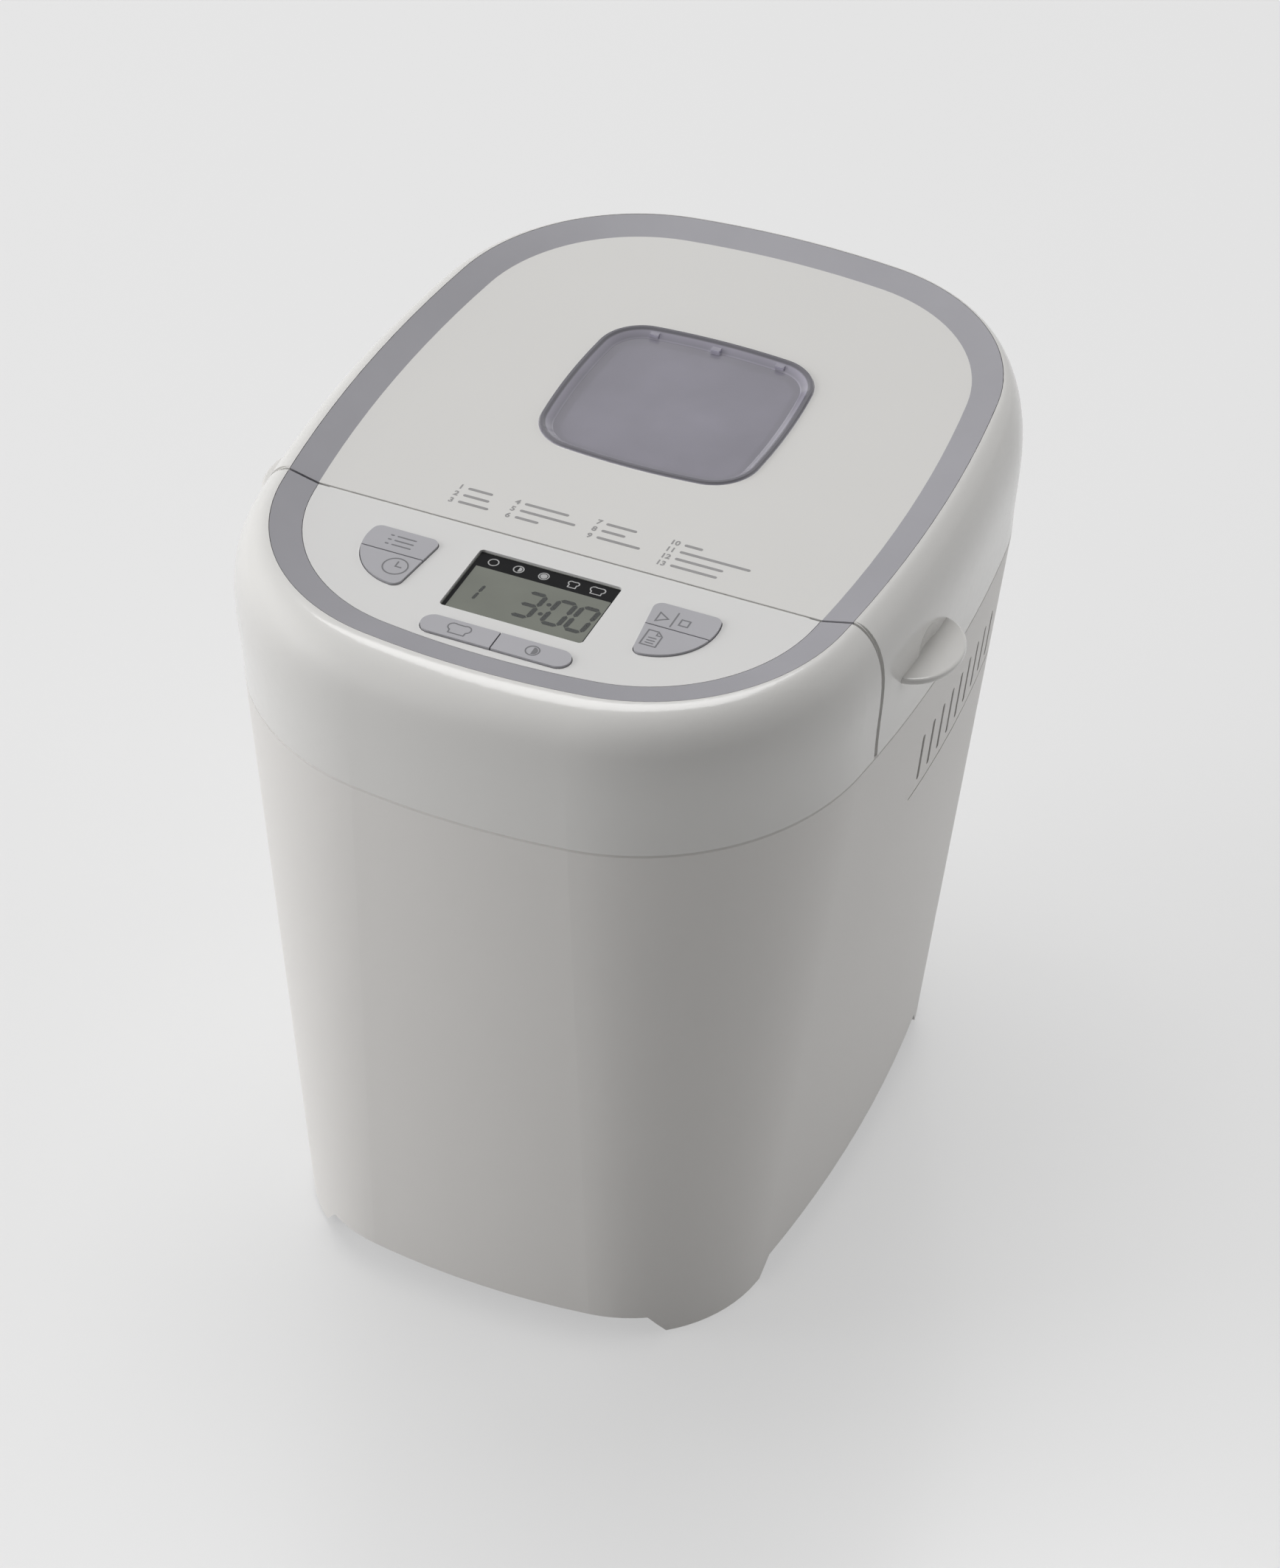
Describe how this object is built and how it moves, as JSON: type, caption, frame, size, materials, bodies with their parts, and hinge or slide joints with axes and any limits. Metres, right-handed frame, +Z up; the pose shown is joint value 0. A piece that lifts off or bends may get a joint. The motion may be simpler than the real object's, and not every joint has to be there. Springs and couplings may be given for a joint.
{
  "type": "bread machine",
  "caption": "Countertop bread machine with a hinged windowed lid, key panel and display, lift-out pan with bail handle, belt-driven kneading paddle and heated chamber.",
  "frame": {"origin": "centre of the footprint at floor level, under the middle of the overall box", "axes": "+Z up, -Y towards the control panel at the front, +Y towards the lid hinge, +X to the user's right when facing the front"},
  "size_m": [0.2538, 0.292, 0.2787],
  "materials": {
    "white_shell": "gloss",
    "white_body": "satin",
    "grey_trim": "satin",
    "grey_keys": "satin",
    "display_lens": "clear",
    "display_module": "matte",
    "window_plastic": "tinted",
    "pane_glass": "clear",
    "black_plastic": "matte",
    "base_plastic": "matte",
    "rubber": "matte",
    "silicone": "matte",
    "sheet_steel": "brushed",
    "spring_steel": "bright",
    "element_steel": "dark",
    "ceramic_bush": "matte",
    "coated_aluminium": "non-stick coating",
    "cast_aluminium": "cast",
    "shaft_steel": "ground",
    "stator_steel": "stacked sheet",
    "copper_windings": "enamelled",
    "bush_bronze": "sintered",
    "board": "matte"
  },
  "bodies": {
    "body": {"front_collar": "white_shell", "control_panel": "white_shell", "lower_housing": "white_body", "panel_ring": "grey_trim", "lcd_window": "display_lens", "lcd_module": "display_module", "cord_gland": "black_plastic", "chamber_deck": "black_plastic", "key_switches": "black_plastic", "power_components": "black_plastic", "motor_capacitor": "black_plastic", "base_plate": "base_plastic", "foot_pads": "rubber", "drive_belt": "rubber", "chassis_plate": "sheet_steel", "chamber_liner": "sheet_steel", "heat_shield": "sheet_steel", "pan_seat": "sheet_steel", "element_clips": "sheet_steel", "pan_clips": "spring_steel", "hinge_pins": "spring_steel", "base_screws": "spring_steel", "motor_bolts": "spring_steel", "temperature_probe": "spring_steel", "heating_element": "element_steel", "element_bushes": "ceramic_bush", "bearing_housing": "cast_aluminium", "motor_end_caps": "cast_aluminium", "motor_stator": "stator_steel", "motor_windings": "copper_windings", "drive_bushes": "bush_bronze", "power_board": "board", "control_board": "board"},
    "lid": {"lid_cover": "white_shell", "lid_ring": "grey_trim", "lid_tray": "sheet_steel", "lid_screws": "spring_steel", "lid_seal": "silicone", "window_lens": "window_plastic", "window_pane": "pane_glass", "window_gasket": "silicone"},
    "pan": {"bread_pan": "coated_aluminium", "pan_base": "cast_aluminium", "pan_hub": "cast_aluminium", "pan_ears": "cast_aluminium"},
    "handle": {"pan_handle": "spring_steel"},
    "paddle": {"kneading_paddle": "coated_aluminium", "pan_shaft": "shaft_steel", "pan_coupling": "cast_aluminium"},
    "drive": {"drive_shaft": "shaft_steel", "drive_dog": "cast_aluminium", "drive_pulley": "black_plastic"},
    "rotor": {"motor_rotor": "shaft_steel", "motor_pulley": "black_plastic"},
    "menu_button": {"menu_key": "grey_keys"},
    "timer_button": {"timer_key": "grey_keys"},
    "start_button": {"start_key": "grey_keys"},
    "recipe_button": {"recipe_key": "grey_keys"},
    "loaf_button": {"loaf_key": "grey_keys"},
    "colour_button": {"colour_key": "grey_keys"}
  },
  "joints": [
    {"name": "lid_hinge", "type": "hinge", "parent": "body", "child": "lid", "pos_m": [0, 0.1418, 0.2262], "axis": [-1, 0, 0], "range_deg": [0, 95]},
    {"name": "pan_lift", "type": "slide", "parent": "body", "child": "pan", "axis": [0, 0, 1], "range_m": [0, 0.05]},
    {"name": "handle_swing", "type": "hinge", "parent": "pan", "child": "handle", "pos_m": [0, 0.03, 0.194], "axis": [1, 0, 0], "range_deg": [0, 170]},
    {"name": "drive_spin", "type": "hinge", "parent": "body", "child": "drive", "pos_m": [0, 0.03, 0.035], "axis": [0, 0, 1], "continuous": true},
    {"name": "paddle_spin", "type": "hinge", "parent": "pan", "child": "paddle", "pos_m": [0, 0.03, 0.085], "axis": [0, 0, 1], "continuous": true},
    {"name": "motor_spin", "type": "hinge", "parent": "body", "child": "rotor", "pos_m": [0, -0.092, 0.06], "axis": [0, 0, 1], "continuous": true},
    {"name": "menu_press", "type": "slide", "parent": "body", "child": "menu_button", "axis": [0, 0, -1], "range_m": [0, 0.001], "stiffness_N_per_m": 400, "springref_m": -0.0005},
    {"name": "timer_press", "type": "slide", "parent": "body", "child": "timer_button", "axis": [0, 0, -1], "range_m": [0, 0.001], "stiffness_N_per_m": 400, "springref_m": -0.0005},
    {"name": "start_press", "type": "slide", "parent": "body", "child": "start_button", "axis": [0, 0, -1], "range_m": [0, 0.001], "stiffness_N_per_m": 400, "springref_m": -0.0005},
    {"name": "recipe_press", "type": "slide", "parent": "body", "child": "recipe_button", "axis": [0, 0, -1], "range_m": [0, 0.001], "stiffness_N_per_m": 400, "springref_m": -0.0005},
    {"name": "loaf_press", "type": "slide", "parent": "body", "child": "loaf_button", "axis": [0, 0, -1], "range_m": [0, 0.001], "stiffness_N_per_m": 400, "springref_m": -0.0005},
    {"name": "colour_press", "type": "slide", "parent": "body", "child": "colour_button", "axis": [0, 0, -1], "range_m": [0, 0.001], "stiffness_N_per_m": 400, "springref_m": -0.0005}
  ],
  "couplings": [
    {"joint": "paddle_spin", "follows": "drive_spin", "ratio": 1},
    {"joint": "motor_spin", "follows": "drive_spin", "ratio": 4.5}
  ]
}
